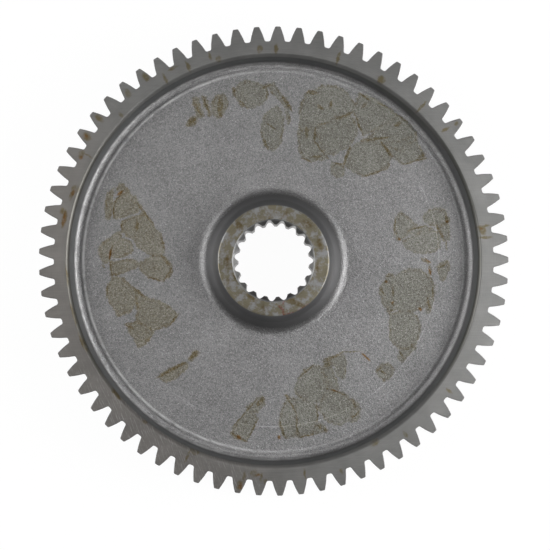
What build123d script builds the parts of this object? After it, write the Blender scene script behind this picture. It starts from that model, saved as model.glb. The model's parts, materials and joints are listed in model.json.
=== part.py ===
"""Spur gear of a transmission: a forged wheel with involute teeth and a splined hub.

The gear is one piece of steel. It lies on its hidden face: the origin is the
centre of the bore on that face, and +Z runs along the bore, out of the hub's
taller end. One tooth is centred on +X. All lengths are in millimetres and all
angles in degrees.
"""

from build123d import *
import os
from math import acos, ceil, cos, degrees, pi, radians, sin, sqrt, tan

# Teeth on the rim
gear_module = 2.5
tooth_count = 69
pressure_angle = 20.0
addendum_ratio = 1.0
dedendum_ratio = 1.25
tooth_thinning = 0.1
root_fillet = 0.75

# Rim, web and the recess on each face
face_width = 28.0
web_thickness = 8.0
rim_land = 4.65
recess_chamfer = 1.2
recess_draft = 8.0
recess_fillet = 2.2

# Hub
hub_front_stand = 4.0
hub_back_stand = 0.0
hub_wall = 5.6
hub_crown_width = 2.0
hub_crown_drop = 2.9
hub_draft = 16.0
hub_fillet = 3.5

# Spline in the bore
spline_module = 1.5
spline_count = 19
spline_pressure_angle = 37.5
spline_root_ratio = 1.4
spline_tip_clearance = 0.2
groove_widening = 0.4
spline_phase = 1.3
bore_chamfer = 0.35

# Largest turn from one chord to the next where small roundings are drawn by chords
chord_turn = 30.0

# How far a cutting solid runs past the metal that it cuts
overrun = 1.0

# Radii of the teeth, from the module
pitch_radius = gear_module * tooth_count / 2
tip_radius = pitch_radius + addendum_ratio * gear_module
root_radius = pitch_radius - dedendum_ratio * gear_module

# Radii of the spline, from its module
spline_pitch_radius = spline_module * spline_count / 2
spline_minor_radius = spline_pitch_radius - spline_module / 2 + spline_tip_clearance
spline_major_radius = spline_pitch_radius + spline_root_ratio * spline_module / 2

# Levels along the bore
rim_back = 0.0
rim_front = rim_back + face_width
web_back = (face_width - web_thickness) / 2
web_front = web_back + web_thickness
hub_back = rim_back - hub_back_stand
hub_front = rim_front + hub_front_stand


def polar(radius, angle):
    """The point at a radius and an angle in radians."""
    return Vector(radius * cos(angle), radius * sin(angle))


def involute(angle):
    """The involute function of a pressure angle in radians."""
    return tan(angle) - angle


class InvoluteTooth:
    """A tooth of involute flanks, centred on +X: its half angle at each radius."""

    def __init__(self, module, count, angle, thinning=0.0):
        pitch = module * count / 2
        self.base = pitch * cos(radians(angle))
        self.pitch_angle = 2 * pi / count
        half_thickness = (pi * module / 2 - thinning) / 2
        self.base_half_angle = half_thickness / pitch + involute(radians(angle))

    def half_angle(self, radius):
        """Half the angle that the tooth spans at a radius."""
        return self.base_half_angle - involute(acos(self.base / radius))

    def flank_point(self, roll):
        """A point of the flank and its direction there, from the involute's roll angle."""
        turn = roll - self.base_half_angle
        outwards = Vector(cos(turn), sin(turn))
        point = self.base * (outwards + Vector(sin(turn), -cos(turn)) * roll)
        return point, outwards

    def flank(self, inner, outer):
        """The flank at negative angles, from one radius to the other."""
        rolls = [sqrt((radius / self.base) ** 2 - 1) for radius in (inner, outer)]
        rolls.insert(1, sum(rolls) / 2)
        points, directions = zip(*[self.flank_point(roll) for roll in rolls])
        return Spline(*points, tangents=(directions[0], directions[-1]))

    def corner_angle(self, rim, radius):
        """The angle of the centre of a rounding between the flank and the circle rim.

        The centre lies on the flank's offset curve, an involute of the same base
        circle. A positive radius is outside the tooth, above the circle, and a
        negative one is inside it, below the circle.
        """
        return self.half_angle(rim + radius) + radius / self.base

    def touch_radius(self, rim, radius):
        """The radius at which that rounding touches the flank."""
        run = sqrt((rim + radius) ** 2 - self.base**2) - radius
        return sqrt(self.base**2 + run**2)

    def full_round(self, rim, largest, angle):
        """The rounding, up to the largest, whose centre lies at an angle."""
        low, high = 0.0, largest
        rising = self.corner_angle(rim, largest) > self.corner_angle(rim, 0)
        for _ in range(50):
            middle = (low + high) / 2
            if (self.corner_angle(rim, middle) < angle) == rising:
                low = middle
            else:
                high = middle
        return low


def rounding(centre, start, end):
    """The points of a small arc about a centre, as the ends of its chords."""
    first = start - centre
    turn = first.get_signed_angle(end - centre, Vector(0, 0, 1))
    chords = ceil(abs(turn) / chord_turn)
    return [centre + first.rotate(Axis.Z, turn * i / chords) for i in range(chords + 1)]


def with_mirror(edges):
    """The edges and their mirror images across the X axis."""
    return edges + [edge.mirror(Plane.XZ) for edge in edges]


def ring_of(edges, count, phase=0.0):
    """A closed outline: the edges of one pitch, repeated round the bore."""
    turns = [phase + 360 * i / count for i in range(count)]
    return make_face([edge.rotate(Axis.Z, turn) for turn in turns for edge in edges])


def gear_outline():
    """The outline of the teeth: root lands, root fillets, involute flanks and tips.

    The lands and tips are so narrow that a straight line is within 0.01 of their arcs.
    """
    tooth = InvoluteTooth(gear_module, tooth_count, pressure_angle, tooth_thinning)
    half_pitch = tooth.pitch_angle / 2
    whole_round = tooth.full_round(root_radius, tip_radius - root_radius, half_pitch)
    radius = min(root_fillet, 0.95 * whole_round)
    land_angle = tooth.corner_angle(root_radius, radius)
    foot_radius = tooth.touch_radius(root_radius, radius)
    flank = tooth.flank(foot_radius, tip_radius)
    land_end = polar(root_radius, -land_angle)
    centre = polar(root_radius + radius, -land_angle)
    fillet_chords = Polyline(*rounding(centre, land_end, flank @ 0)).edges()
    sides = with_mirror([*fillet_chords, flank])
    land = Line(polar(root_radius, land_angle - tooth.pitch_angle), land_end)
    tip = Line(flank @ 1, sides[-1] @ 1)
    return ring_of([*sides, land, tip], tooth_count)


def spline_outline():
    """The outline of the splined bore: tooth lands, flanks and fully rounded grooves."""
    angle = spline_pressure_angle
    groove = InvoluteTooth(spline_module, spline_count, angle, -groove_widening)
    depth = spline_major_radius - spline_minor_radius
    radius = groove.full_round(spline_major_radius, -depth, 0)
    foot_radius = groove.touch_radius(spline_major_radius, radius)
    mouth_angle = groove.half_angle(spline_minor_radius)
    flanks = with_mirror([groove.flank(spline_minor_radius, foot_radius)])
    centre = polar(spline_major_radius + radius, 0)
    bottom_chords = Polyline(*rounding(centre, flanks[0] @ 1, flanks[1] @ 1)).edges()
    land_turn = groove.pitch_angle - 2 * mouth_angle
    land = CenterArc((0, 0), spline_minor_radius, degrees(mouth_angle), degrees(land_turn))
    return ring_of([*flanks, *bottom_chords, land], spline_count, spline_phase)


def toothed_prism():
    """A prism of the gear's outline with the splined bore through it."""
    height = hub_front - hub_back + 2 * overrun
    face = gear_outline() - spline_outline()
    return Pos(0, 0, hub_back - overrun) * extrude(face, height)


def side_corners(rim, web, hub):
    """One side of the wheel's section, from the teeth in to the bore.

    Each corner is a radius from the bore's axis, a level and a rounding.
    """
    up = 1 if rim > web else -1
    recess_radius = root_radius - rim_land
    wall_top = recess_radius - recess_chamfer
    wall_drop = abs(rim - web) - recess_chamfer
    wall_foot = wall_top - wall_drop * tan(radians(recess_draft))
    hub_radius = spline_major_radius + hub_wall
    crown_radius = hub_radius + hub_crown_width
    crown = hub - up * hub_crown_drop
    hub_foot = crown_radius + abs(crown - web) * tan(radians(hub_draft))
    chamfer_radius = spline_major_radius + bore_chamfer
    lead = chamfer_radius - spline_minor_radius + overrun
    return [
        (tip_radius + overrun, rim, 0),
        (recess_radius, rim, 0),
        (wall_top, rim - up * recess_chamfer, 0),
        (wall_foot, web, recess_fillet),
        (hub_foot, web, hub_fillet),
        (crown_radius, crown, 0),
        (hub_radius, hub, 0),
        (chamfer_radius, hub, 0),
        (chamfer_radius - lead, hub - up * lead, 0),
    ]


def rounded(last, corner, following):
    """A corner as the points of its rounding, which its two sides leave room for."""
    here = Vector(*corner[:2])
    if not corner[2]:
        return [here]
    to_last = Vector(*last[:2]) - here
    to_next = Vector(*following[:2]) - here
    half_angle = radians(to_last.get_angle(to_next)) / 2
    room = 0.48 * min(to_last.length, to_next.length)
    reach = min(corner[2] / tan(half_angle), room)
    start = to_last.normalized() * reach
    end = to_next.normalized() * reach
    centre = (start + end) / 2 / cos(half_angle) ** 2
    return rounding(here + centre, here + start, here + end)


def wheel_blank():
    """The turned and forged wheel before its teeth and spline are cut."""
    front = side_corners(rim_front, web_front, hub_front)
    back = side_corners(rim_back, web_back, hub_back)
    corners = front + back[::-1]
    points = []
    for i, corner in enumerate(corners):
        points += rounded(corners[i - 1], corner, corners[(i + 1) % len(corners)])
    return revolve(Plane.XZ * make_face(Polyline(*points, close=True)), Axis.Z)


def transmission_gear():
    """The finished gear: the wheel where it meets the toothed prism."""
    return wheel_blank() & toothed_prism()


os.makedirs("parts", exist_ok=True)
export_step(transmission_gear(), "parts/transmission_gear.step")
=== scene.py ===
"""The looks of a used transmission gear: forged and machined steel, dried oil and rust.

Shapes are worked out in millimetres in the gear's own frame, with +Z out of the
bore towards the viewer, and become metres when a mesh is written.
"""
import json
from math import acos, atan2, cos, pi, radians, sin, sqrt, tan

import bpy
import numpy as np
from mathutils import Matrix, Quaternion, Vector


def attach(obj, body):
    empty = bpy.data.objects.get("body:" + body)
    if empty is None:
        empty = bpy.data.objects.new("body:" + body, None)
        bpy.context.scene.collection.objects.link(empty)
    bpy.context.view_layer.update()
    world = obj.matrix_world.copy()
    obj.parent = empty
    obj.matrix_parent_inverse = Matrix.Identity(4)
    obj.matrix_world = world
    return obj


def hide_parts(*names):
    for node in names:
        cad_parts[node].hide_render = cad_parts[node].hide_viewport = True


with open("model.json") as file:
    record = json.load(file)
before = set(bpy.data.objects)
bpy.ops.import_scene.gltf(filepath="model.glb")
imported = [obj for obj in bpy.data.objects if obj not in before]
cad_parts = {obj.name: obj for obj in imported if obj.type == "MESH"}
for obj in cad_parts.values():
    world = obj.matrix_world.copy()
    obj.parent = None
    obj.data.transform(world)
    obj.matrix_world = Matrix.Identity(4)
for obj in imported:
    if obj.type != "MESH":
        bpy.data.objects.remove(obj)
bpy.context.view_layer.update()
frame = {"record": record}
mounts = {mount["name"]: mount for mount in frame["record"]["mounts"]}

MM = 0.001

# Teeth on the rim
tooth_count = 69
pressure_angle = radians(20)
pitch_radius = mounts["gear_teeth"]["dims"]["r_mm"]
face_width = mounts["gear_teeth"]["dims"]["length_mm"]
gear_module = 2 * pitch_radius / tooth_count
tip_radius = pitch_radius + gear_module
root_depth = 1.25 * gear_module
root_radius = pitch_radius - root_depth
tooth_thinning = 0.1
root_fillet = 0.75
tip_bevel = 0.22
end_bevel = 0.22
root_points = 5
flank_points = 4

# Spline in the bore
spline_count = 19
spline_module = 1.5
spline_angle = radians(37.5)
groove_widening = 0.4
spline_phase = radians(1.3)
spline_minor_radius = mounts["spline_bore"]["dims"]["r_mm"]
spline_major_radius = 15.3
land_points = 6
side_points = 12
bottom_points = 38

# Wheel's section
hub_length = mounts["spline_bore"]["dims"]["length_mm"]
web_levels = (10.0, 18.0)
rim_land = 4.65
recess_chamfer = 1.2
recess_draft = radians(8)
recess_fillet = 2.0
gutter_depth = 0.2
gutter_ramp = 1.2
gutter_edge = 0.4
ramp_rounding = 0.8
hub_wall = 5.6
scribed_radius = 63.2
ridge_radius = 72.8
hub_crown_width = 2.0
hub_crown_drop = 2.9
hub_crown_radius = 9.0
hub_draft = radians(16)
hub_fillet = 3.5
hub_edge = 0.12
bore_chamfer = 0.35
broken_edge = 0.25
flat_margin = 0.5
wall_margin = 0.3
recess_radius = root_radius - rim_land
root_ring = root_radius - 1.0
hub_radius = spline_major_radius + hub_wall
chamfer_radius = spline_major_radius + bore_chamfer

# Mesh: its columns stand evenly at this radius, and its edges are sharp past this angle
even_radius = 60.0
sharp_angle = radians(34)

# Stains: the distance that counts as away from all, and the ripples in a film
far_off = 100.0
ripple_turns = 5.5

# Floor, in metres, and the share of its light that it gives by itself where seen
floor_half = 12.0
floor_glow = 0.97

# Camera: places in the photograph are in pixels, the height is in millimetres
photo_size = 550
photo_axis = (273.6, 260.75)
photo_tip_radius = 234.8
photo_roll = radians(0.26)
camera_height = 900.0
camera_lean = radians(0.9)
camera_side = radians(275)


def involute(angle):
    """The involute function of a pressure angle: its tangent less the angle."""
    return np.tan(angle) - angle


def involute_side(module, count, angle, thinning, radii):
    """Half angles of an involute tooth at some radii.

    The half thickness on the pitch circle plus the pressure angle's involute, less
    the involute of the angle whose cosine is base radius over radius.
    """
    pitch = module * count / 2
    base = pitch * cos(angle)
    half_thickness = (pi * module / 2 - thinning) / 2 / pitch
    return half_thickness + involute(angle) - involute(np.arccos(base / np.asarray(radii)))


def polar_points(radii, angles):
    """The points at some radii and angles, as rows of x and y."""
    return np.stack([radii * np.cos(angles), radii * np.sin(angles)], axis=-1)


def arc_between(centre, start, end, steps):
    """Points of the shorter arc about a centre from start to end, both included."""
    first, last = start - centre, end - centre
    begin = atan2(first[1], first[0])
    turn = (atan2(last[1], last[0]) - begin + pi) % (2 * pi) - pi
    angles = begin + turn * np.linspace(0, 1, steps)
    return centre + np.hypot(*first) * np.stack([np.cos(angles), np.sin(angles)], axis=-1)


def mirrored_pitch(middle, side):
    """One pitch of an outline: its gap's middle, one side, and that side mirrored."""
    return np.concatenate([[middle], side, side[::-1] * (1, -1)])


def repeated(pitch, count, phase=0.0):
    """A whole outline: one pitch turned round the bore count times."""
    turns = phase + 2 * pi * np.arange(count)[:, None] / count
    x, y = pitch[:, 0], pitch[:, 1]
    rows = [x * np.cos(turns) - y * np.sin(turns), x * np.sin(turns) + y * np.cos(turns)]
    return np.stack(rows, axis=-1).reshape(-1, 2)


def tooth_outline():
    """The rim's outline: root land, root rounding, involute flank, bevelled tip."""
    base = pitch_radius * cos(pressure_angle)

    def half(radius):
        return involute_side(gear_module, tooth_count, pressure_angle, tooth_thinning, radius)

    centre_radius = root_radius + root_fillet
    centre_angle = -(half(centre_radius) + root_fillet / base)
    run = sqrt(centre_radius**2 - base**2) - root_fillet
    foot = sqrt(base**2 + run**2)
    fillet = arc_between(
        polar_points(centre_radius, centre_angle),
        polar_points(root_radius, centre_angle),
        polar_points(foot, -half(foot)),
        root_points,
    )
    flank_radii = np.linspace(foot, tip_radius - tip_bevel, flank_points)[1:]
    flank = polar_points(flank_radii, -half(flank_radii))
    tip_angle = half(tip_radius) - tip_bevel / tip_radius
    tip = polar_points(tip_radius * cos(half(tip_radius)) / cos(tip_angle), -tip_angle)
    middle = polar_points(root_radius, -pi / tooth_count)
    return repeated(mirrored_pitch(middle, np.concatenate([fillet, flank, [tip]])), tooth_count)


def groove_outline():
    """The bore's outline: tooth lands, flanks and fully rounded groove bottoms."""
    base = spline_module * spline_count / 2 * cos(spline_angle)

    def half(radius):
        return involute_side(spline_module, spline_count, spline_angle, -groove_widening, radius)

    low, high = 0.0, spline_major_radius - spline_minor_radius
    for _ in range(40):
        rounding = (low + high) / 2
        offset = half(spline_major_radius - rounding) - rounding / base
        low, high = (rounding, high) if offset > 0 else (low, rounding)
    centre_radius = spline_major_radius - rounding
    run = sqrt(centre_radius**2 - base**2) + rounding
    foot = sqrt(base**2 + run**2)
    mouth = half(spline_minor_radius)
    land_angles = np.linspace(-pi / spline_count, -mouth, land_points)[1:-1]
    land = polar_points(spline_minor_radius, land_angles)
    flank_radii = np.linspace(spline_minor_radius, foot, side_points)
    flank = polar_points(flank_radii, -half(flank_radii))
    centre = polar_points(centre_radius, 0)
    bottom = arc_between(centre, flank[-1], flank[-1] * (1, -1), bottom_points)
    bottom = bottom[1 : bottom_points // 2]
    middle = polar_points(spline_minor_radius, -pi / spline_count)
    pitch = mirrored_pitch(middle, np.concatenate([land, flank, bottom]))
    return repeated(pitch, spline_count, spline_phase)


def face_corners(rim, web, hub):
    """One face of the wheel's section from the teeth to the bore.

    Each corner is a radius, a level, a rounding, the chords that draw the rounding
    and the finish of the stretch after it. Those without a rounding lie on a straight
    stretch, close to the rounding at its end, so that the stretch shades flat.
    """
    up = 1 if rim > web else -1
    wall_top = recess_radius - recess_chamfer
    floor = web - up * gutter_depth
    wall_foot = wall_top - (abs(rim - floor) - recess_chamfer) * tan(recess_draft)
    gutter = wall_foot - recess_fillet
    crown_radius = hub_radius + hub_crown_width
    crown = hub - up * hub_crown_drop
    hub_foot = crown_radius + abs(crown - web) * tan(hub_draft)
    wall_rise = recess_fillet + wall_margin
    return [
        (root_ring, rim, 0, 1, "faced"),
        (recess_radius + flat_margin, rim, 0, 1, "faced"),
        (recess_radius, rim, broken_edge, 1, "faced"),
        (wall_top, rim - up * recess_chamfer, broken_edge, 1, "turned"),
        (wall_foot + wall_rise * tan(recess_draft), floor + up * wall_rise, 0, 1, "turned"),
        (wall_foot, floor, recess_fillet, 5, "forged"),
        (gutter, floor, gutter_edge, 1, "forged"),
        (gutter - gutter_ramp, web, ramp_rounding, 2, "forged"),
        (gutter - gutter_ramp - flat_margin, web, 0, 1, "forged"),
        (hub_foot + hub_fillet, web, 0, 1, "forged"),
        (hub_foot, web, hub_fillet, 5, "turned"),
        (crown_radius, crown, hub_crown_radius, 4, "turned"),
        (hub_radius, hub, hub_edge, 1, "faced"),
        (hub_radius - flat_margin, hub, 0, 1, "faced"),
        (chamfer_radius, hub, 0, 1, "cut"),
    ]


def rounded_line(corners):
    """The section line through corners, each rounded by a tangent arc.

    Returns its points as radius and level, and the finish after each point. A rounding
    beside the forged skin is forged too.
    """
    points, finishes = [], []
    for i, (radius, level, rounding, chords, finish) in enumerate(corners):
        here = np.array([radius, level])
        if rounding and 0 < i < len(corners) - 1:
            before = np.array(corners[i - 1][:2]) - here
            after = np.array(corners[i + 1][:2]) - here
            before /= np.hypot(*before)
            after /= np.hypot(*after)
            half = acos(float(np.clip(before @ after, -1, 1))) / 2
            reach = rounding / tan(half)
            bisector = (before + after) / np.hypot(*(before + after))
            centre = here + bisector * rounding / sin(half)
            arc = arc_between(centre, here + before * reach, here + after * reach, chords + 1)
        else:
            arc = here[None, :]
        points.append(arc)
        last = corners[i - 1][4]
        finishes += [last if last == "forged" else finish] * (len(arc) - 1) + [finish]
    return np.concatenate(points), finishes


def ring_rows(line, outer, inner):
    """Rows of x, y and level round the bore, one row for each point of a section line.

    Columns follow the outline nearest to a row and even out between the two: the
    angle is a blend of both outlines' angles and even steps, by the row's radius.
    """
    count = len(outer)
    even = np.arange(count) * 2 * pi / count
    outer_angle = np.unwrap(np.arctan2(outer[:, 1], outer[:, 0]))
    even = even + outer_angle.mean() - even.mean()
    inner_angle = np.unwrap(np.arctan2(inner[:, 1], inner[:, 0]))
    inner_angle += even.mean() - inner_angle.mean()
    radius, level = line[:, :1], line[:, 1:]
    outer_share = np.clip((radius - even_radius) / (root_ring - even_radius), 0, 1)
    inner_share = np.clip((hub_radius - radius) / (hub_radius - chamfer_radius), 0, 1)
    even_share = 1 - outer_share - inner_share
    angle = outer_share * outer_angle + inner_share * inner_angle + even_share * even
    return np.stack([radius * np.cos(angle), radius * np.sin(angle), level + 0 * angle], axis=-1)


def level_row(outline, level):
    """A row of the mesh: an outline at one level, or at a level for each point."""
    levels = np.broadcast_to(level, (len(outline),))[:, None]
    return np.concatenate([outline, levels], axis=1)[None]


def inset(outline, depth):
    """An outline moved into the metal by a depth, along its own normals."""
    along = np.roll(outline, -1, axis=0) - np.roll(outline, 1, axis=0)
    along /= np.hypot(along[:, 0], along[:, 1])[:, None]
    return outline + depth * np.stack([-along[:, 1], along[:, 0]], axis=-1)


def gear_grid():
    """The gear's whole surface as a grid that closes both ways.

    Columns run round the bore and rows round the section: in over the front face,
    down the bore, out under the back face and up the teeth.
    """
    outer = tooth_outline()
    inner = groove_outline()
    lag = atan2(outer[0, 1], outer[0, 0]) - atan2(inner[0, 1], inner[0, 0])
    inner = np.roll(inner, -round(lag / (2 * pi / len(inner))), axis=0)
    front, front_finish = rounded_line(face_corners(face_width, web_levels[1], hub_length))
    back, back_finish = rounded_line(face_corners(0.0, web_levels[0], 0.0))
    bore_drop = chamfer_radius - np.hypot(inner[:, 0], inner[:, 1])
    inset_outer = inset(outer, end_bevel)
    rows = np.concatenate([
        level_row(inset_outer, face_width),
        ring_rows(front, outer, inner),
        level_row(inner, hub_length - bore_drop),
        level_row(inner, bore_drop),
        ring_rows(back[::-1], outer, inner),
        level_row(inset_outer, 0.0),
        level_row(outer, end_bevel),
        level_row(outer, face_width - end_bevel),
    ])
    finishes = ["faced"] + front_finish + ["cut", "cut"]
    finishes += back_finish[-2::-1] + ["faced", "cut", "cut", "cut"]
    return rows, finishes


def closed_grid_mesh(name, rows, finish_places):
    """A mesh of quads over a grid that wraps both ways, with a finish for each row."""
    row_count, column_count = rows.shape[:2]
    place = np.arange(row_count * column_count).reshape(row_count, column_count)
    below = np.roll(place, -1, axis=0)
    beside = [np.roll(place, -1, axis=1), np.roll(below, -1, axis=1)]
    quads = np.stack([place, *beside, below], axis=-1).reshape(-1, 4)
    mesh = bpy.data.meshes.new(name)
    mesh.vertices.add(place.size)
    mesh.vertices.foreach_set("co", (rows * MM).astype(np.float32).ravel())
    mesh.loops.add(quads.size)
    mesh.loops.foreach_set("vertex_index", quads.astype(np.int32).ravel())
    mesh.polygons.add(len(quads))
    mesh.polygons.foreach_set("loop_start", np.arange(0, quads.size, 4, dtype=np.int32))
    material_places = np.repeat(finish_places, column_count).astype(np.int32)
    mesh.polygons.foreach_set("material_index", material_places)
    mesh.update(calc_edges=True)
    mesh.validate()
    mesh.polygons.foreach_set("use_smooth", np.ones(len(quads), bool))
    mesh.set_sharp_from_angle(angle=sharp_angle)
    return mesh


def set_inputs(tree, node, inputs):
    """Links a node's inputs where a socket is given, and sets them where a value is."""
    for name, value in inputs.items():
        if isinstance(value, bpy.types.NodeSocket):
            tree.links.new(value, node.inputs[name])
        else:
            node.inputs[name].default_value = value
    return node


def put(tree, kind, inputs=None, **settings):
    """Adds a node with its settings, and sets or links the inputs that are given."""
    node = tree.nodes.new(kind)
    for name, value in settings.items():
        setattr(node, name, value)
    return set_inputs(tree, node, inputs or {})


def calc(tree, operation, *values):
    """The result of a Math node."""
    return put(tree, "ShaderNodeMath", dict(enumerate(values)), operation=operation).outputs[0]


def times(tree, *values):
    """The product of some values."""
    result = values[0]
    for value in values[1:]:
        result = calc(tree, "MULTIPLY", result, value)
    return result


def fade(tree, value, start, end, low=0.0, high=1.0):
    """A smooth step of a value, from low at start to high at end."""
    inputs = {"Value": value, 1: start, 2: end, 3: low, 4: high}
    node = put(tree, "ShaderNodeMapRange", inputs, interpolation_type="SMOOTHSTEP")
    return node.outputs[0]


def blend(tree, share, first, second, blend_type="MIX"):
    """A colour between two others, by a share."""
    inputs = {"Factor": share, 6: first, 7: second}
    node = put(tree, "ShaderNodeMix", inputs, data_type="RGBA", blend_type=blend_type)
    return node.outputs[2]


def tinted(tree, share, colour, tint):
    """A colour multiplied by a tint, by a share."""
    return blend(tree, share, colour, tint, "MULTIPLY")


def vector(tree, operation, *values):
    """The vector that a Vector Math node gives."""
    inputs = dict(enumerate(values))
    return put(tree, "ShaderNodeVectorMath", inputs, operation=operation).outputs[0]


def scaled(tree, place, factor):
    """A vector times a number."""
    inputs = {0: place, "Scale": factor}
    return put(tree, "ShaderNodeVectorMath", inputs, operation="SCALE").outputs[0]


def dot_product(tree, first, second):
    """The dot product of two vectors."""
    inputs = {0: first, 1: second}
    return put(tree, "ShaderNodeVectorMath", inputs, operation="DOT_PRODUCT").outputs["Value"]


def noise(tree, point, scale, detail, roughness, stretch=None):
    """The noise texture at a point, as its value and its colour."""
    if stretch:
        point = vector(tree, "MULTIPLY", point, stretch)
    inputs = {"Vector": point, "Scale": scale, "Detail": detail, "Roughness": roughness}
    return put(tree, "ShaderNodeTexNoise", inputs).outputs


def object_point(tree):
    """The place on the gear in millimetres."""
    return scaled(tree, put(tree, "ShaderNodeTexCoord").outputs["Object"], 1 / MM)


def bore_distance(tree, point):
    """The distance of a place from the bore's axis."""
    flat = vector(tree, "MULTIPLY", point, (1, 1, 0))
    return put(tree, "ShaderNodeVectorMath", {0: flat}, operation="LENGTH").outputs["Value"]


def from_ring(tree, distance, ring_radius):
    """How far a distance from the bore's axis is from a ring's radius."""
    return calc(tree, "ABSOLUTE", calc(tree, "SUBTRACT", distance, ring_radius))


def new_group(name, vectors, numbers, results):
    """A node group that turns vectors and numbers into results, and its two end nodes."""
    group = bpy.data.node_groups.new(name, "ShaderNodeTree")
    for label in vectors:
        group.interface.new_socket(label, in_out="INPUT", socket_type="NodeSocketVector")
    for label in numbers:
        group.interface.new_socket(label, in_out="INPUT", socket_type="NodeSocketFloat")
    for label in results:
        group.interface.new_socket(label, in_out="OUTPUT", socket_type="NodeSocketFloat")
    return group, group.nodes.new("NodeGroupInput"), group.nodes.new("NodeGroupOutput")


def place_group(tree, group, inputs):
    """Places a node group in a tree."""
    return put(tree, "ShaderNodeGroup", inputs, node_tree=group).outputs


def blasted_grain_group():
    """The pitted grain of shot-blasted forging: a height, a tone and bright glints."""
    results = ["Height", "Tone", "Glint"]
    group, entry, exit_node = new_group("blasted_grain", ["Point"], ["Size"], results)
    point = entry.outputs["Point"]
    per_mm = calc(group, "DIVIDE", 1.0, entry.outputs["Size"])
    coarse = noise(group, point, per_mm, 3.0, 0.62)[0]
    fine = noise(group, point, times(group, per_mm, 2.6), 2.0, 0.6)[0]
    broad = noise(group, point, times(group, per_mm, 0.05), 3.0, 0.6)[0]
    tone = calc(group, "MULTIPLY_ADD", coarse, 0.4, fine)
    set_inputs(group, exit_node, {
        "Height": calc(group, "MULTIPLY_ADD", fine, 0.55, coarse),
        "Tone": calc(group, "MULTIPLY_ADD", broad, 0.22, tone),
        "Glint": fade(group, fine, 0.64, 0.74),
    })
    return group


def tool_marks_group():
    """Fine rings left by facing, crossed by faint straight scratches: height and tone."""
    numbers, results = ["Pitch", "Scratches"], ["Height", "Tone"]
    group, entry, exit_node = new_group("tool_marks", ["Point"], numbers, results)
    flat = vector(group, "MULTIPLY", entry.outputs["Point"], (1, 1, 0))
    turn = calc(group, "DIVIDE", bore_distance(group, flat), entry.outputs["Pitch"])
    ring = put(group, "ShaderNodeCombineXYZ", {"X": turn}).outputs[0]
    rings = noise(group, ring, 1.0, 2.0, 0.6)[0]
    scratch = noise(group, flat, 1.3, 2.0, 0.6, stretch=(0.08, 1.6, 0.0))[0]
    height = calc(group, "MULTIPLY_ADD", scratch, entry.outputs["Scratches"], rings)
    broad = noise(group, flat, 0.09, 3.0, 0.6)[0]
    tone = calc(group, "MULTIPLY_ADD", broad, 1.2, height)
    set_inputs(group, exit_node, {"Height": height, "Tone": tone})
    return group


def stroke_group():
    """One stroke: its distance in millimetres, joined to the strokes before.

    The point's third coordinate is one, so that a product with a vector measures the
    place along the stroke, or across it, in half lengths and half widths.
    """
    vectors, numbers = ["Point", "Along", "Across"], ["Reach", "Film"]
    group, entry, exit_node = new_group("stroke", vectors, numbers, ["Film"])
    point = entry.outputs["Point"]
    along = dot_product(group, point, entry.outputs["Along"])
    across = dot_product(group, point, entry.outputs["Across"])
    square = calc(group, "MULTIPLY_ADD", along, along, times(group, across, across))
    distance = calc(group, "SUBTRACT", calc(group, "SQRT", square), 1.0)
    distance = times(group, distance, entry.outputs["Reach"])
    nearest = calc(group, "MINIMUM", distance, entry.outputs["Film"])
    set_inputs(group, exit_node, {"Film": nearest})
    return group


def wandering_point(group, point, wander, ragged):
    """A place moved by a broad noise, which bends a stain, and by a fine one, which frays it.

    Its third coordinate is set to one.
    """
    moved = point
    for scale, detail, reach in ((0.12, 1.0, wander), (0.6, 3.0, ragged)):
        shift = noise(group, point, scale, detail, 0.6, stretch=(1, 1, 0))[1]
        shift = scaled(group, vector(group, "SUBTRACT", shift, (0.5, 0.5, 0.5)), reach)
        moved = vector(group, "ADD", moved, shift)
    return vector(group, "MULTIPLY_ADD", moved, (1, 1, 0), (0, 0, 1))


def stroke_field(name, stroke, strokes, wander, ragged):
    """A field of strokes: the distance to the nearest one, negative inside it."""
    group, entry, exit_node = new_group(name, ["Point"], [], ["Film"])
    point = wandering_point(group, entry.outputs["Point"], wander, ragged)
    film = far_off
    for x, y, length, width, turn in strokes:
        along = (cos(radians(turn)) / length, sin(radians(turn)) / length)
        across = (-sin(radians(turn)) / width, cos(radians(turn)) / width)
        film = place_group(group, stroke, {
            "Point": point,
            "Along": (*along, -x * along[0] - y * along[1]),
            "Across": (*across, -x * across[0] - y * across[1]),
            "Reach": sqrt(length * width),
            "Film": film,
        })["Film"]
    set_inputs(group, exit_node, {"Film": film})
    return group


def film_field(name, films, wander, ragged, softness):
    """A field of films: the distances to the nearest film and to the nearest outline.

    The distance to a film is the largest distance from the lines through its sides,
    softened at the corners.
    """
    group, entry, exit_node = new_group(name, ["Point"], [], ["Film", "Edge"])
    point = wandering_point(group, entry.outputs["Point"], wander, ragged)
    film = edge = far_off
    for corners in films:
        inside = None
        for (x, y), (next_x, next_y) in zip(corners, corners[1:] + corners[:1]):
            length = sqrt((next_x - x) ** 2 + (next_y - y) ** 2)
            out = ((next_y - y) / length, (x - next_x) / length)
            side = dot_product(group, point, (*out, -x * out[0] - y * out[1]))
            if inside is not None:
                side = calc(group, "SMOOTH_MAX", inside, side, softness)
            inside = side
        film = calc(group, "MINIMUM", inside, film)
        edge = calc(group, "MINIMUM", calc(group, "ABSOLUTE", inside), edge)
    set_inputs(group, exit_node, {"Film": film, "Edge": edge})
    return group


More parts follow.
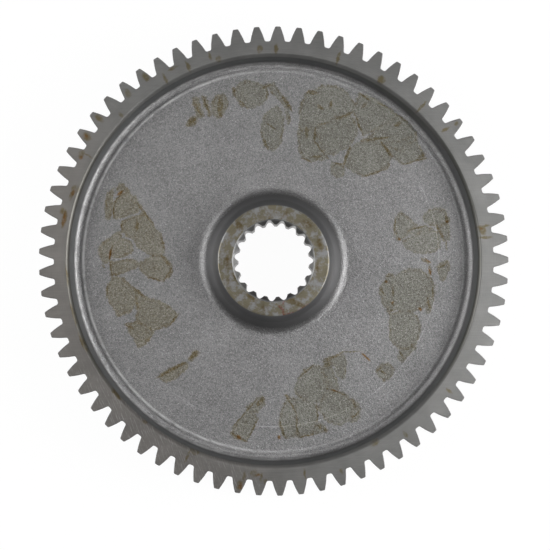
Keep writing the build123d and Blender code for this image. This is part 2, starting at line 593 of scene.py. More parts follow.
# Films of dried oil on the web, by their corners
web_films = [
    # Upper left
    [(-28.9, 54.8), (-26.6, 55.5), (-28.6, 62.4), (-30.8, 62.0)],
    [(-30.1, 51.7), (-28.6, 53.6), (-29.7, 55.5), (-32.0, 54.4), (-32.8, 51.3)],
    [(-24.7, 55.5), (-23.6, 56.3), (-25.5, 63.2), (-27.0, 63.2)],
    [(-23.2, 60.1), (-22.8, 55.9), (-20.5, 54.8), (-18.2, 56.7),
     (-17.5, 60.5), (-18.6, 64.3), (-21.7, 63.6)],
    [(-12.9, 59.7), (-8.3, 58.2), (-3.3, 60.5), (-1.8, 64.7),
     (-4.1, 67.8), (-8.3, 68.9), (-12.9, 67.8), (-15.2, 64.7)],
    [(1.6, 62.4), (6.2, 57.4), (7.4, 57.8), (3.9, 63.6), (0.5, 67.8), (-2.9, 67.8)],
    [(-2.9, 56.3), (-4.9, 49.8), (-3.3, 44.1), (0.1, 42.2),
     (2.8, 45.2), (4.3, 50.9), (3.6, 56.3), (1.3, 59.4)],
    [(5.8, 52.5), (6.6, 53.6), (5.5, 57.1), (4.7, 57.4)],
    # Upper right
    [(10.1, 57.8), (9.7, 49.8), (16.9, 50.6), (29.9, 55.9), (31.8, 59.7),
     (28.0, 65.1), (23.0, 67.0), (17.7, 66.6), (12.3, 64.7)],
    [(10.4, 40.6), (13.5, 38.0), (20.8, 39.5), (16.2, 50.6), (9.7, 50.6)],
    [(18.8, 41.8), (23.4, 40.6), (28.8, 43.7), (32.2, 48.7), (31.1, 53.6),
     (27.6, 55.9), (21.5, 54.4), (16.9, 50.9), (15.8, 46.4)],
    [(34.5, 47.9), (39.5, 49.8), (48.3, 55.2), (42.9, 59.7), (38.0, 62.4), (33.7, 64.3), (30.3, 57.1)],
    [(42.5, 44.1), (49.0, 42.2), (55.2, 47.1), (52.5, 52.1),
     (48.7, 54.8), (44.8, 54.4), (39.9, 50.2), (35.3, 46.4)],
    [(45.6, 39.9), (49.8, 36.8), (58.6, 39.1), (57.8, 40.6), (54.8, 47.5), (41.8, 44.4)],
    [(30.3, 34.1), (35.3, 32.2), (43.7, 35.3), (45.2, 39.5), (42.5, 43.7),
     (37.6, 46.0), (31.8, 44.8), (28.8, 42.5), (27.6, 37.6)],
    [(21.9, 34.1), (24.6, 32.2), (27.3, 33.0), (27.3, 36.4), (22.7, 37.6)],
    # Right
    [(46.7, 16.2), (46.0, 12.0), (47.5, 8.1), (50.2, 9.3), (54.8, 13.5), (49.0, 18.8)],
    [(52.1, 9.7), (60.1, 12.0), (57.8, 13.1), (53.2, 12.7), (50.6, 11.2)],
    [(57.4, 14.6), (62.8, 13.5), (67.4, 14.3), (66.2, 17.7), (63.6, 20.0), (59.7, 19.2), (57.1, 16.9)],
    [(63.2, 9.7), (65.1, 7.4), (67.4, 8.1), (67.0, 14.6), (62.8, 13.9)],
    [(50.6, 4.7), (53.6, 2.8), (60.9, 2.8), (63.2, 5.1),
     (62.8, 11.6), (58.6, 11.2), (52.5, 9.3), (49.0, 7.4)],
    [(62.4, -2.9), (62.8, -6.0), (64.3, -7.9), (66.6, -4.5), (67.0, -1.0), (66.2, 0.1), (63.2, -1.4)],
    [(44.8, -12.9), (46.7, -18.2), (52.1, -19.4), (60.1, -16.7), (61.3, -12.1),
     (60.1, -7.1), (55.9, -3.7), (50.9, -3.3), (47.1, -5.2)],
    [(40.6, -12.1), (41.4, -16.7), (44.1, -19.8), (46.0, -17.5), (45.6, -5.2), (43.7, -5.6)],
    [(58.2, -19.8), (59.4, -20.5), (60.9, -14.8), (59.0, -13.6)],
    [(44.4, -29.3), (47.5, -33.1), (52.1, -33.5), (55.2, -30.5),
     (55.9, -25.5), (54.8, -21.7), (50.6, -18.6), (44.4, -20.5)],
    [(47.5, -36.6), (48.7, -38.9), (50.9, -37.0), (54.0, -33.9), (53.2, -32.0), (48.7, -33.9)],
    # Bottom
    [(10.1, -52.6), (17.7, -53.4), (21.5, -48.4), (20.0, -43.8), (17.7, -40.8),
     (15.0, -40.0), (11.2, -42.3), (8.5, -46.5), (7.8, -50.0)],
    [(20.8, -49.6), (24.6, -48.8), (21.5, -40.0), (17.7, -40.8)],
    [(24.2, -44.2), (26.5, -45.4), (27.6, -40.0), (26.9, -36.2), (24.6, -35.8), (22.3, -37.0)],
    [(18.8, -41.2), (21.9, -40.4), (21.9, -36.2), (18.5, -37.7)],
    [(3.9, -67.2), (8.9, -66.8), (8.9, -59.9), (7.8, -53.8), (5.1, -52.6), (2.8, -56.8), (1.3, -62.2)],
    [(9.3, -67.2), (14.6, -65.6), (16.2, -62.6), (16.5, -55.7), (14.6, -53.4), (7.0, -52.6)],
    [(17.3, -65.6), (19.6, -64.1), (18.1, -62.2), (16.5, -62.2), (15.0, -66.0)],
    [(19.6, -61.0), (25.3, -62.6), (29.5, -61.0), (31.5, -57.2), (30.3, -53.4),
     (26.5, -50.3), (21.9, -49.6), (18.8, -51.9), (16.9, -55.7)],
    [(29.2, -61.8), (31.8, -60.7), (33.0, -57.2), (30.3, -53.0)],
    [(-10.6, -55.7), (-9.8, -57.6), (-6.0, -57.2), (-3.3, -54.2), (-4.5, -51.9), (-6.8, -52.2)],
    [(-16.7, -65.6), (-13.6, -67.9), (-10.6, -68.7), (-8.3, -64.5),
     (-6.4, -59.9), (-9.4, -57.2), (-12.9, -59.5)],
    [(39.9, -44.6), (42.2, -46.1), (44.8, -44.6), (46.4, -41.9),
     (43.7, -39.3), (41.0, -39.6), (39.1, -41.9)],
    # Left
    [(-61.4, 21.9), (-60.7, 16.9), (-58.7, 16.5), (-51.9, 19.2),
     (-50.3, 21.1), (-53.8, 25.7), (-57.6, 26.9)],
    [(-59.9, 27.6), (-50.3, 21.1), (-53.4, 25.3), (-56.1, 28.4), (-58.7, 30.3)],
    [(-61.0, 28.0), (-63.3, 26.1), (-64.5, 21.9), (-64.1, 16.5), (-62.6, 16.5)],
    [(-52.6, 13.9), (-53.0, 7.0), (-46.9, 2.4), (-42.3, 2.4),
     (-41.5, 4.3), (-43.5, 10.8), (-47.3, 16.5), (-50.0, 19.2)],
    [(-57.6, 11.2), (-53.4, 8.1), (-51.5, 12.7), (-51.5, 17.7), (-58.0, 14.6)],
    [(-62.2, 4.3), (-61.4, 1.6), (-53.8, 3.2), (-53.8, 6.2), (-57.2, 8.9), (-61.0, 7.4)],
    [(-64.1, 8.5), (-66.8, 5.5), (-65.2, -0.3), (-62.9, 0.1), (-57.6, 10.8), (-58.7, 11.2)],
    [(-62.6, -4.5), (-60.3, -4.9), (-56.5, -3.7), (-51.5, -1.0), (-52.2, 0.1), (-54.9, 0.5), (-62.2, 0.1)],
    [(-51.1, -3.3), (-48.0, -6.0), (-43.1, -7.1), (-40.0, -6.0), (-38.9, -2.9),
     (-39.3, 0.1), (-42.3, 2.4), (-46.9, 2.0), (-51.5, -1.0)],
    [(-64.1, -11.0), (-62.9, -14.8), (-59.5, -20.1), (-56.1, -19.8), (-53.4, -17.1),
     (-52.2, -11.7), (-53.8, -9.1), (-58.0, -6.0), (-62.2, -5.6)],
    [(-53.0, -17.5), (-51.5, -18.2), (-49.6, -13.3), (-52.6, -9.8)],
    [(-52.2, -20.1), (-52.6, -23.2), (-46.1, -26.6), (-39.3, -23.6),
     (-36.6, -20.1), (-41.5, -16.3), (-49.6, -13.3)],
    [(-54.5, -28.6), (-51.9, -32.8), (-46.9, -28.9), (-45.7, -26.3), (-52.2, -22.8), (-56.8, -24.3)],
    [(-42.3, -46.1), (-38.5, -45.4), (-32.4, -39.6), (-33.5, -38.1), (-41.2, -41.5), (-44.6, -43.8)],
    [(-31.6, -38.1), (-28.6, -34.7), (-30.1, -33.9), (-32.8, -37.0)],
]
# Strokes of darker oil: x, y, half length, half width and turn in degrees
web_smears = [
    # Upper left
    (-28.6, 58.2, 2.5, 0.5, -68), (-30.7, 53.6, 1.6, 0.8, 39), (-25.3, 59.5, 3.4, 0.4, -72),
    (-20.1, 59.2, 4.0, 1.1, -90), (-11.7, 60.3, 1.9, 0.4, -40), (-15.0, 65.5, 1.2, 0.6, -76),
    (-2.2, 63.4, 1.4, 0.5, -90), (-0.6, 51.5, 2.4, 0.3, -41), (-2.9, 44.8, 2.5, 0.5, -68),
    (5.5, 60.1, 3.2, 0.6, -56), (-2.4, 66.8, 2.2, 0.5, 18),
    # Upper right
    (16.0, 48.5, 2.9, 0.4, -94), (17.5, 43.7, 3.3, 0.3, -53), (19.6, 52.7, 2.4, 0.3, 17),
    (27.3, 55.5, 3.7, 0.5, 21), (32.8, 51.9, 5.1, 0.3, -69), (35.7, 46.2, 2.3, 0.6, 6),
    (40.6, 46.7, 4.2, 0.5, 6), (43.7, 42.2, 3.7, 0.7, -54), (28.2, 39.9, 4.0, 0.5, -106),
    (25.3, 37.2, 2.3, 0.3, -11), (16.5, 39.9, 2.3, 0.5, 0), (15.0, 64.5, 2.3, 0.9, -6),
    (12.5, 38.7, 2.3, 0.4, -24), (35.3, 62.6, 2.4, 0.4, -41), (34.9, 59.4, 1.5, 0.5, 45),
    (42.2, 59.4, 2.5, 0.3, -22), (49.4, 54.6, 2.7, 0.4, -35), (47.7, 52.3, 1.5, 0.7, 31),
    (54.2, 38.0, 4.9, 0.3, 15), (56.7, 40.1, 1.4, 0.5, 37), (38.7, 33.4, 4.8, 0.3, 15),
    (18.1, 58.8, 1.4, 0.6, -37), (22.3, 59.7, 1.6, 0.5, -108), (12.7, 49.2, 2.1, 0.6, -90),
    # Right
    (46.4, 13.1, 3.9, 0.3, -96), (54.4, 12.3, 3.6, 0.3, 14), (63.6, 10.8, 3.3, 0.5, -67),
    (66.2, 16.0, 2.2, 0.4, -77), (66.0, 5.7, 1.8, 0.3, -82), (58.0, -0.3, 1.9, 0.6, -30),
    (59.7, -4.1, 1.9, 0.5, -90), (60.7, -12.3, 2.5, 0.3, -85), (59.4, -17.1, 2.7, 0.5, -81),
    (43.5, -5.6, 1.1, 0.5, 34), (41.4, -11.9, 1.9, 0.5, -60), (45.6, -12.1, 1.2, 0.4, -90),
    (45.2, -16.5, 1.1, 0.3, -56), (45.4, -19.0, 1.4, 0.4, 22), (48.8, -35.8, 1.7, 0.4, -63),
    (64.7, -1.8, 1.8, 0.3, 34),
    # Bottom
    (22.3, -36.8, 4.2, 0.6, 27), (28.8, -34.7, 3.8, 0.3, 0), (20.2, -39.4, 1.5, 0.8, 31),
    (23.6, -50.0, 4.2, 0.3, -18), (30.7, -54.9, 1.6, 0.5, -72), (31.3, -58.7, 2.4, 0.3, 49),
    (3.0, -64.3, 3.1, 0.5, -69), (6.6, -55.3, 4.0, 0.3, -58), (8.7, -62.6, 4.6, 0.3, -87),
    (12.7, -66.6, 3.1, 0.3, -168), (17.1, -62.9, 1.2, 0.6, -76), (19.2, -64.3, 1.1, 0.5, -56),
    (-13.6, -67.0, 3.9, 0.4, -29), (-11.4, -58.0, 7.4, 0.3, 49), (-5.4, -53.8, 1.9, 0.8, -130),
    (-7.7, -62.9, 3.4, 0.3, -117), (12.2, -42.3, 3.8, 0.3, 43), (40.4, -41.4, 1.5, 0.3, 31),
    (41.4, -42.7, 1.3, 0.3, -27), (16.4, -57.4, 3.7, 0.3, -87), (4.9, -51.9, 1.1, 0.5, -34),
    # Left
    (-59.3, 24.6, 3.3, 0.3, 53), (-61.0, 19.6, 2.7, 0.3, -90), (-49.6, 19.0, 3.8, 0.4, -56),
    (-52.1, 13.5, 1.9, 0.7, -97), (-57.8, 12.9, 1.8, 0.4, -82), (-62.2, 3.6, 2.7, 0.4, -99),
    (-62.4, -2.4, 2.9, 0.3, -86), (-60.5, -4.7, 2.1, 0.3, 6), (-41.4, 0.5, 2.4, 0.7, -49),
    (-40.4, -4.5, 3.5, 0.3, -120), (-63.9, -10.8, 2.9, 0.3, -94), (-51.5, -11.4, 3.1, 0.5, -45),
    (-52.2, -15.9, 2.3, 0.4, -79), (-38.1, -21.9, 2.7, 0.3, 48), (-55.3, -25.1, 1.6, 0.5, -18),
    (-48.6, -29.5, 1.0, 0.6, 18), (-42.3, 8.1, 3.6, 0.3, -76), (-64.1, 22.5, 1.4, 0.3, -90),
    (-65.1, -1.6, 0.7, 0.4, -45), (-39.3, -41.4, 6.5, 0.6, 28), (-30.7, -35.6, 2.3, 0.7, 45),
    (-45.7, -6.6, 2.8, 0.3, 166),
]
# Strokes and spots of rust
rust_spots = [
    (35.1, -36.8, 2.3, 0.4, -45), (-13.6, -67.0, 1.1, 0.7, -56), (1.8, -67.2, 0.8, 0.6, -63),
    (55.9, -18.6, 0.9, 0.6, -45), (43.1, -8.1, 0.7, 0.5, 45), (45.4, -16.1, 0.7, 0.4, 45),
    (66.4, 14.8, 0.7, 0.5, -45), (48.1, 8.3, 0.7, 0.4, -45), (-58.7, 26.3, 1.5, 0.45, 37),
    (-62.4, 3.0, 2.0, 0.5, -98), (59.2, -0.3, 1.1, 0.3, -34), (59.7, -4.3, 1.4, 0.3, -68),
    (23.0, -49.6, 1.3, 0.3, -27),
]
# Brown oil and a red smear of marking paint on the hub's face
hub_smears = [
    (-12.9, 13.1, 2.1, 1.0, -63), (-8.3, -14.0, 2.0, 0.8, -45), (-17.1, -7.9, 1.2, 0.6, -90),
    (-17.5, -0.6, 2.3, 0.9, -90), (-14.6, -5.6, 2.0, 1.0, -69), (9.7, -16.3, 2.1, 0.9, -27),
    (7.0, -15.2, 1.8, 1.2, -34), (12.7, 13.9, 2.3, 1.4, -11), (16.5, -2.6, 1.9, 0.5, 90),
    (-4.1, -18.0, 1.4, 0.5, -90), (-1.2, 16.4, 1.4, 0.5, -79), (-9.4, -10.4, 2.2, 0.6, -49),
    (17.3, 6.2, 2.3, 0.8, -79), (4.3, 17.3, 1.5, 0.6, 45),
]
red_smears = [
    (3.7, -15.4, 1.4, 0.3, -101), (2.8, -17.7, 1.4, 0.5, -37), (3.7, -19.8, 1.2, 0.5, -76),
    (6.2, -19.8, 2.7, 0.3, 9), (11.0, -17.7, 2.9, 0.3, 32),
]


def round_the_bore(stains):
    """Strokes given by angle and radius, with their length along the radius, as x and y."""
    return [
        (radius * cos(radians(angle)), radius * sin(radians(angle)), length, width, angle)
        for angle, radius, length, width in stains
    ]


# Streaks on the rim: angle, radius, half length along the radius and half width
rim_stains = round_the_bore([
    (6.0, 80.6, 2.3, 0.5), (9.0, 80.5, 2.3, 0.4), (37.0, 81.7, 1.5, 0.5), (46.0, 80.7, 2.5, 0.4),
    (59.0, 79.7, 1.4, 1.4), (72.0, 80.5, 2.3, 0.5), (89.0, 80.5, 1.8, 0.7), (93.5, 80.2, 1.4, 1.0),
    (105.0, 79.2, 1.0, 1.0), (107.0, 81.2, 1.2, 0.4), (113.5, 80.2, 2.0, 0.5), (120.5, 80.2, 2.0, 0.5),
    (117.0, 82.2, 0.5, 2.2), (136.0, 79.7, 1.0, 0.4), (150.0, 80.4, 2.2, 0.3), (160.0, 79.7, 1.5, 1.4),
    (166.5, 82.2, 0.8, 1.2), (168.5, 80.8, 0.9, 3.2), (161.5, 80.3, 0.7, 2.0), (184.0, 78.3, 0.3, 3.5),
    (195.0, 78.3, 0.4, 4.0), (203.0, 78.4, 0.7, 4.0), (220.0, 77.9, 0.7, 2.5), (231.0, 78.1, 0.6, 1.0),
    (246.0, 80.5, 2.4, 0.4), (247.5, 78.2, 1.1, 1.6), (262.0, 82.3, 1.6, 0.5), (264.5, 80.6, 1.2, 1.2),
    (266.5, 82.0, 1.4, 0.4), (278.0, 81.3, 1.6, 0.4), (299.0, 78.5, 1.1, 1.6), (307.0, 82.2, 1.2, 0.6),
    (323.0, 82.8, 1.2, 0.4), (8.0, 80.0, 1.2, 1.6), (36.7, 86.3, 0.8, 0.6), (124.7, 84.8, 1.6, 1.0),
    (130.7, 83.9, 1.5, 1.0), (140.5, 85.1, 1.8, 1.0), (146.0, 84.7, 1.8, 1.3), (150.5, 83.2, 1.0, 1.6),
    (261.4, 85.6, 1.8, 1.1), (265.0, 80.7, 0.5, 1.8), (267.7, 83.5, 0.9, 0.8), (287.5, 83.5, 0.8, 0.5),
])
rim_rust = round_the_bore([
    (168.6, 80.9, 0.6, 2.6), (161.2, 80.1, 0.5, 1.2), (146.0, 85.0, 0.9, 0.6), (261.4, 86.0, 1.2, 0.7),
    (151.5, 82.6, 0.5, 0.9), (265.5, 81.0, 0.4, 1.0), (8.5, 79.6, 0.5, 0.5),
])


# Colours of the steel
forged_dark = (0.108, 0.107, 0.107, 1)
forged_light = (0.247, 0.245, 0.246, 1)
forged_glint = (0.46, 0.46, 0.465, 1)
# painted highlight colour for bright rings along edges and by the recess
highlight_steel = (0.55, 0.55, 0.55, 1)
scribed_steel = (0.42, 0.42, 0.43, 1)
faced_dark = (0.15, 0.15, 0.146, 1)
faced_light = (0.214, 0.213, 0.207, 1)
brushed_steel = (0.28, 0.27, 0.262, 1)
bare_steel = (0.265, 0.268, 0.275, 1)
turned_dark = (0.13, 0.13, 0.132, 1)
turned_light = (0.16, 0.16, 0.162, 1)
cut_dark = (0.14, 0.138, 0.136, 1)
cut_light = (0.23, 0.228, 0.222, 1)
# painted shade on the recess's chamfer
chamfer_shade_colour = (0.05, 0.049, 0.042, 1)
# Tints that the steel is multiplied by
grey_film = (0.67, 0.655, 0.51, 1)
yellow_film = (0.76, 0.69, 0.47, 1)
film_outline = (0.68, 0.57, 0.36, 1)
web_smear = (0.66, 0.56, 0.34, 1)
web_rust = (0.74, 0.44, 0.17, 1)
warm_haze = (1.0, 0.95, 0.92, 1)
rim_streak = (0.68, 0.57, 0.34, 1)
rust_streak = (0.95, 0.60, 0.32, 1)
hub_film = (0.86, 0.77, 0.55, 1)
hub_smear = (0.62, 0.50, 0.30, 1)
marking_red = (0.95, 0.40, 0.40, 1)
# painted shade that darkens the recess wall
recess_wall_painted_shade = (0.72, 0.75, 0.74, 1)


def finish_material(name):
    """A material with its Principled shader, and its tree."""
    material = bpy.data.materials.new(name)
    material.use_nodes = True
    tree = material.node_tree
    return material, tree, tree.nodes["Principled BSDF"]


def relief(tree, height, depth_mm):
    """A bump normal from a height, with its depth in millimetres."""
    inputs = {"Height": height, "Distance": depth_mm * MM, "Strength": 1.0}
    return put(tree, "ShaderNodeBump", inputs).outputs[0]


def only_front(tree, point):
    """One on the face that the photograph shows, nothing on the hidden one."""
    level = put(tree, "ShaderNodeSeparateXYZ", {0: point}).outputs["Z"]
    return calc(tree, "GREATER_THAN", level, face_width / 2)


def stain(tree, field, point, start, end):
    """The strength of a field's stains: nothing at the first distance, one at the second."""
    return fade(tree, place_group(tree, field, {"Point": point})["Film"], start, end)


def painted_highlight_rings(tree, point, steel, rings, strength, where=1.0):
    """A steel's colour with painted highlight rings, broken into patches, given by radius and half width.
    """
    distance = bore_distance(tree, point)
    patches = noise(tree, point, 0.25, 3.0, 0.7)[0]
    for ring_radius, half_width in rings:
        ring = fade(tree, from_ring(tree, distance, ring_radius), half_width, 0.0)
        highlight_share = fade(tree, patches, 0.3, 0.6, 0.4 * strength, strength)
        steel = blend(tree, times(tree, ring, highlight_share, where), steel, highlight_steel)
    return steel


def scribed_circle(tree, point):
    """A thin circle scratched into the web by the marking-out tool, faint at the upper left."""
    off = from_ring(tree, bore_distance(tree, point), scribed_radius)
    patches = noise(tree, point, 0.06, 3.0, 0.7)[0]
    side = dot_product(tree, point, (0.6, -0.8, 0.0))
    strength = times(tree, fade(tree, patches, 0.35, 0.6, 0.1, 0.45), fade(tree, side, -5.0, 30.0))
    return times(tree, fade(tree, off, 0.25, 0.05), strength)


def brushed_marks(tree, point):
    """Fine straight marks that cross the rim at the lower left."""
    along = times(tree, dot_product(tree, point, (0.35, -0.94, 0.0)), 0.1)
    across = dot_product(tree, point, (0.94, 0.35, 0.0))
    place = put(tree, "ShaderNodeCombineXYZ", {"X": along, "Y": across}).outputs[0]
    marks = noise(tree, place, 2.4, 2.0, 0.6)[0]
    side = dot_product(tree, point, (-0.54, -0.84, 0.0))
    return times(tree, fade(tree, marks, 0.5, 0.72), fade(tree, side, 66.0, 78.0))


def chamfer_shade(tree, point):
    """Painted shade on the recess's chamfer, at the gear's left and right."""
    off = from_ring(tree, bore_distance(tree, point), recess_radius - recess_chamfer / 2)
    side = calc(tree, "ABSOLUTE", dot_product(tree, point, (1.0, 0.0, 0.0)))
    return times(tree, fade(tree, off, 0.9, 0.6), fade(tree, side, 50.0, 74.0, 0.0, 0.8))


def forged_material(grain, films, smears, spots):
    """The forged skin of the web, the recess and the hub: grey, blasted, oil-stained."""
    material, tree, shader = finish_material("forged_skin")
    point = object_point(tree)
    front = only_front(tree, point)
    leftward = dot_product(tree, point, (-1.0, 0.0, 0.0))
    dotted = noise(tree, point, 1.7, 2.0, 0.6)[0]
    broad = noise(tree, point, 0.22, 3.0, 0.7)[0]
    texture = place_group(tree, grain, {"Point": point, "Size": 0.8})

    steel = blend(tree, fade(tree, texture["Tone"], 0.56, 1.06), forged_dark, forged_light)
    steel = blend(tree, texture["Glint"], steel, forged_glint)
    # Painted highlights: two bright rings by the recess, stronger at the left, where the light falls
    ridge_highlights = [(ridge_radius, 0.9), (ridge_radius + 3.0, 0.7)]
    lit_side_share = fade(tree, leftward, -20.0, 60.0, 0.25, 1.0)
    steel = painted_highlight_rings(tree, point, steel, ridge_highlights, 0.75, lit_side_share)
    steel = blend(tree, times(tree, scribed_circle(tree, point), front), steel, scribed_steel)

    oil = place_group(tree, films, {"Point": point})
    ripple = calc(tree, "MULTIPLY_ADD", oil["Film"], ripple_turns, times(tree, broad, 8.0))
    ripple = fade(tree, calc(tree, "SINE", ripple), -0.8, 0.8, 0.8, 1.0)
    film = times(tree, fade(tree, oil["Film"], 0.7, 0.1), front, ripple)
    film = times(tree, film, fade(tree, texture["Tone"], 0.66, 0.94, 1.0, 0.55))
    line = times(tree, fade(tree, oil["Edge"], 0.8, 0.1), front)
    line = times(tree, line, fade(tree, broad, 0.38, 0.62, 0.0, 0.8))
    line = times(tree, line, fade(tree, dotted, 0.42, 0.6, 0.1, 1.0))
    smear = times(tree, stain(tree, smears, point, 0.4, -0.3), front)
    smear = times(tree, smear, fade(tree, dotted, 0.35, 0.6, 0.35, 1.0))
    spot = times(tree, stain(tree, spots, point, 0.3, -0.4), front)
    film_tint = blend(tree, fade(tree, leftward, 0.0, 40.0), grey_film, yellow_film)
    colour = tinted(tree, film, steel, film_tint)
    colour = tinted(tree, line, colour, film_outline)
    colour = tinted(tree, smear, colour, web_smear)
    colour = tinted(tree, spot, colour, web_rust)

    distance = bore_distance(tree, point)
    beside_wall = fade(tree, distance, 71.0, 74.0, 1.0, 1.4)
    beside_hub = fade(tree, distance, 31.0, 28.0, 1.0, 1.2)
    coarse = calc(tree, "MAXIMUM", beside_wall, beside_hub)
    height = times(tree, calc(tree, "SUBTRACT", texture["Height"], 0.78), coarse)
    set_inputs(tree, shader, {
        "Base Color": colour,
        "Metallic": 0.75,
        "Roughness": fade(tree, texture["Height"], 0.5, 1.1, 0.34, 0.48),
        "Normal": relief(tree, height, 0.15),
    })
    return material


def faced_material(marks, rim_oil, rust, hub_oil, hub_brown, hub_red):
    """The turned faces of the rim and the hub: smooth grey with fine marks and stains."""
    material, tree, shader = finish_material("faced_steel")
    point = object_point(tree)
    front = only_front(tree, point)
    broken = noise(tree, point, 0.3, 4.0, 0.75)[0]
    patchy = noise(tree, point, 1.2, 3.0, 0.7)[0]
    texture = place_group(tree, marks, {"Point": point, "Pitch": 0.35, "Scratches": 0.6})

    steel = blend(tree, fade(tree, texture["Tone"], 0.9, 2.0), faced_dark, faced_light)
    # A faint painted highlight along the hub face's edge
    steel = painted_highlight_rings(tree, point, steel, [(hub_radius, 0.25)], 0.12)
    haze = fade(tree, dot_product(tree, point, (-0.9, -0.45, 0.0)), 10.0, 70.0)
    steel = tinted(tree, haze, steel, warm_haze)
    steel = blend(tree, times(tree, brushed_marks(tree, point), front), steel, brushed_steel)
    # Painted shade darkens the recess's chamfer at the left and right
    steel = blend(tree, times(tree, chamfer_shade(tree, point), front), steel, chamfer_shade_colour)

    def broken_stain(field, start, end, patches, low, high=1.0):
        share = times(tree, stain(tree, field, point, start, end), front)
        return times(tree, share, fade(tree, patches, 0.35, 0.6, low, high))

    oil = place_group(tree, hub_oil, {"Point": point})
    colour = tinted(tree, broken_stain(rim_oil, 0.6, -0.4, broken, 0.35), steel, rim_streak)
    colour = tinted(tree, broken_stain(rust, 0.4, -0.5, broken, 0.5), colour, rust_streak)
    colour = tinted(tree, oil["Mask"], colour, hub_film)
    colour = blend(tree, times(tree, oil["Bare"], 0.62), colour, bare_steel)
    colour = tinted(tree, broken_stain(hub_brown, 0.9, -0.9, patchy, 0.4), colour, hub_smear)
    colour = tinted(tree, broken_stain(hub_red, 0.3, -0.3, patchy, 0.3, 0.9), colour, marking_red)
    set_inputs(tree, shader, {
        "Base Color": colour,
        "Metallic": 0.7,
        "Roughness": fade(tree, texture["Height"], 0.4, 1.1, 0.27, 0.37),
        "Normal": relief(tree, texture["Height"], 0.02),
    })
    return material


def hub_oil_group():
    """Mottled brown oil on the hub's face: broad patches broken by finer ones."""
    group, entry, exit_node = new_group("hub_oil", ["Point"], [], ["Mask", "Bare"])
    point = entry.outputs["Point"]
    on_hub = fade(group, bore_distance(group, point), 22.0, 21.0)
    on_hub = times(group, on_hub, only_front(group, point))
    broad = noise(group, point, 0.28, 5.0, 0.7)[0]
    set_inputs(group, exit_node, {
        "Mask": times(group, fade(group, broad, 0.36, 0.56), on_hub),
        "Bare": times(group, fade(group, broad, 0.56, 0.37), on_hub),
    })
    return group


def turned_material(marks):
    """The steep walls of the recess and the hub: turned smooth, dull and even, with painted shade
    darkening the recess wall.
    """
    material, tree, shader = finish_material("turned_wall")
    point = object_point(tree)
    texture = place_group(tree, marks, {"Point": point, "Pitch": 0.5, "Scratches": 0.3})
    steel = blend(tree, fade(tree, texture["Tone"], 0.9, 2.0), turned_dark, turned_light)
    # Painted shade: the recess wall darker than the hub's
    shaded_recess_wall = fade(tree, bore_distance(tree, point), 60.0, 70.0)
    set_inputs(tree, shader, {
        "Base Color": tinted(tree, shaded_recess_wall, steel, recess_wall_painted_shade),
        "Metallic": 0.7,
        "Roughness": 0.34,
        "Normal": relief(tree, texture["Height"], 0.01),
    })
    return material


def cut_material():
    """The hobbed teeth and the broached spline: cut bright, now dull."""
    material, tree, shader = finish_material("cut_steel")
    point = object_point(tree)
    along = noise(tree, point, 2.0, 2.0, 0.6, stretch=(1.0, 1.0, 0.06))[0]
    tone = noise(tree, point, 0.12, 3.0, 0.6)[0]
    steel = blend(tree, fade(tree, tone, 0.35, 0.65), cut_dark, cut_light)
    set_inputs(tree, shader, {
        # A painted highlight ring along the bore's chamfer
        "Base Color": painted_highlight_rings(tree, point, steel, [(chamfer_radius, 0.8)], 1.0),
        "Metallic": 0.9,
        "Roughness": 0.42,
        "Normal": relief(tree, along, 0.02),
    })
    return material


def add_object(name, data):
    """An object of the scene from its data."""
    holder = bpy.data.objects.new(name, data)
    bpy.context.scene.collection.objects.link(holder)
    return holder


def gear_piece():
    """The gear, one piece of steel with four finishes."""
    rows, finishes = gear_grid()
    marks = tool_marks_group()
    stroke = stroke_group()
    materials = {
        "forged": forged_material(
            blasted_grain_group(),
            film_field("web_films", web_films, 2.0, 2.6, 1.6),
            stroke_field("web_smears", stroke, web_smears, 1.2, 1.4),
            stroke_field("rust_spots", stroke, rust_spots, 0.6, 0.9),
        ),
        "faced": faced_material(
            marks,
            stroke_field("rim_oil", stroke, rim_stains, 1.2, 1.5),
            stroke_field("rim_rust", stroke, rim_rust, 0.8, 1.4),
            hub_oil_group(),
            stroke_field("hub_brown", stroke, hub_smears, 0.8, 1.6),
            stroke_field("hub_red", stroke, red_smears, 0.5, 1.0),
        ),
        "cut": cut_material(),
        "turned": turned_material(marks),
    }
    places = np.array([list(materials).index(finish) for finish in finishes])
    mesh = closed_grid_mesh("gear_wheel", rows, places)
    for material in materials.values():
        mesh.materials.append(material)
    piece = add_object("gear_wheel", mesh)
    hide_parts("transmission_gear")
    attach(piece, "root")


def pale_floor():
    """A large white floor that stays white in view and keeps a trace of the shadow."""
    mesh = bpy.data.meshes.new("floor")
    corners = [(-floor_half, -floor_half, 0), (floor_half, -floor_half, 0),
               (floor_half, floor_half, 0), (-floor_half, floor_half, 0)]
    mesh.from_pydata(corners, [], [(0, 1, 2, 3)])
    material, tree, shader = finish_material("pale_floor")
    set_inputs(tree, shader, {"Base Color": (0.9, 0.9, 0.9, 1), "Roughness": 0.9})
    glow = put(tree, "ShaderNodeEmission", {"Color": (1, 1, 1, 1), "Strength": 1.0}).outputs[0]
    rays = put(tree, "ShaderNodeLightPath").outputs
    seen = calc(tree, "MAXIMUM", rays["Is Camera Ray"], rays["Is Glossy Ray"])
    seen = calc(tree, "MAXIMUM", seen, rays["Is Transmission Ray"])
    share = times(tree, seen, floor_glow)
    mix = put(tree, "ShaderNodeMixShader", {0: share, 1: shader.outputs[0], 2: glow})
    tree.links.new(mix.outputs[0], tree.nodes["Material Output"].inputs["Surface"])
    mesh.materials.append(material)
    floor = add_object("floor", mesh)


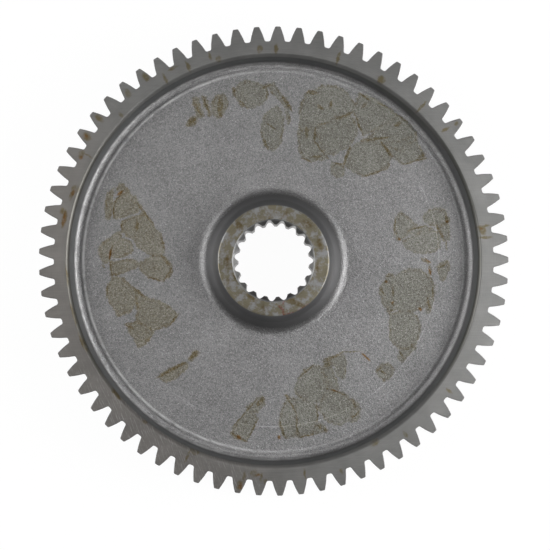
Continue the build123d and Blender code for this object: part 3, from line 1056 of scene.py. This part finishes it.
def soft_box(name, place, size, power):
    """A rectangular lamp that faces the gear from a place, in metres and watts."""
    lamp = bpy.data.lights.new(name, "AREA")
    lamp.shape = "RECTANGLE"
    lamp.size, lamp.size_y = size
    lamp.energy = power
    holder = add_object(name, lamp)
    holder.location = place
    holder.rotation_euler = (-Vector(place)).to_track_quat("-Z", "Y").to_euler()


def studio():
    """Soft boxes at both sides, weaker ones near, high up and far off, and a dim sky."""
    soft_box("left_box", (-0.8, 0.1, 0.62), (0.6, 0.8), 8.2)
    soft_box("right_box", (0.8, 0.0, 0.62), (0.6, 0.8), 7.9)
    soft_box("near_right_box", (0.28, -0.08, 0.24), (0.15, 0.2), 0.72)
    soft_box("high_right_box", (0.26, 0.0, 0.9), (0.12, 0.3), 0.68)
    soft_box("high_left_box", (-0.45, 0.1, 0.85), (0.4, 0.5), 1.15)
    soft_box("far_box", (0.1, 0.8, 0.62), (0.8, 0.6), 0.8)
    world = bpy.data.worlds.new("studio")
    world.use_nodes = True
    tree = world.node_tree
    direction = put(tree, "ShaderNodeTexCoord").outputs["Generated"]
    height = put(tree, "ShaderNodeSeparateXYZ", {0: direction}).outputs["Z"]
    strength = fade(tree, height, 0.1, 0.9, 0.02, 0.06)
    set_inputs(tree, tree.nodes["Background"], {"Color": (1, 1, 1, 1), "Strength": strength})
    bpy.context.scene.world = world


def camera():
    """The camera, a little off the bore's axis, at the photograph's scale, place and roll."""
    data = bpy.data.cameras.new("camera")
    data.sensor_width = 36.0
    scale = photo_tip_radius / tip_radius
    data.lens = scale * camera_height * data.sensor_width / photo_size
    data.shift_x = (photo_size / 2 - photo_axis[0]) / photo_size
    data.shift_y = (photo_axis[1] - photo_size / 2) / photo_size
    data.clip_start = 0.01
    data.clip_end = 20.0
    holder = add_object("camera", data)
    lean = Quaternion((-sin(camera_side), cos(camera_side), 0), camera_lean)
    holder.location = Vector((0, 0, face_width * MM)) + lean @ Vector((0, 0, camera_height * MM))
    holder.rotation_mode = "QUATERNION"
    holder.rotation_quaternion = lean @ Quaternion((0, 0, 1), -photo_roll)
    bpy.context.scene.camera = holder


gear_piece()
pale_floor()
studio()
camera()
bpy.context.scene.view_settings.view_transform = "Standard"
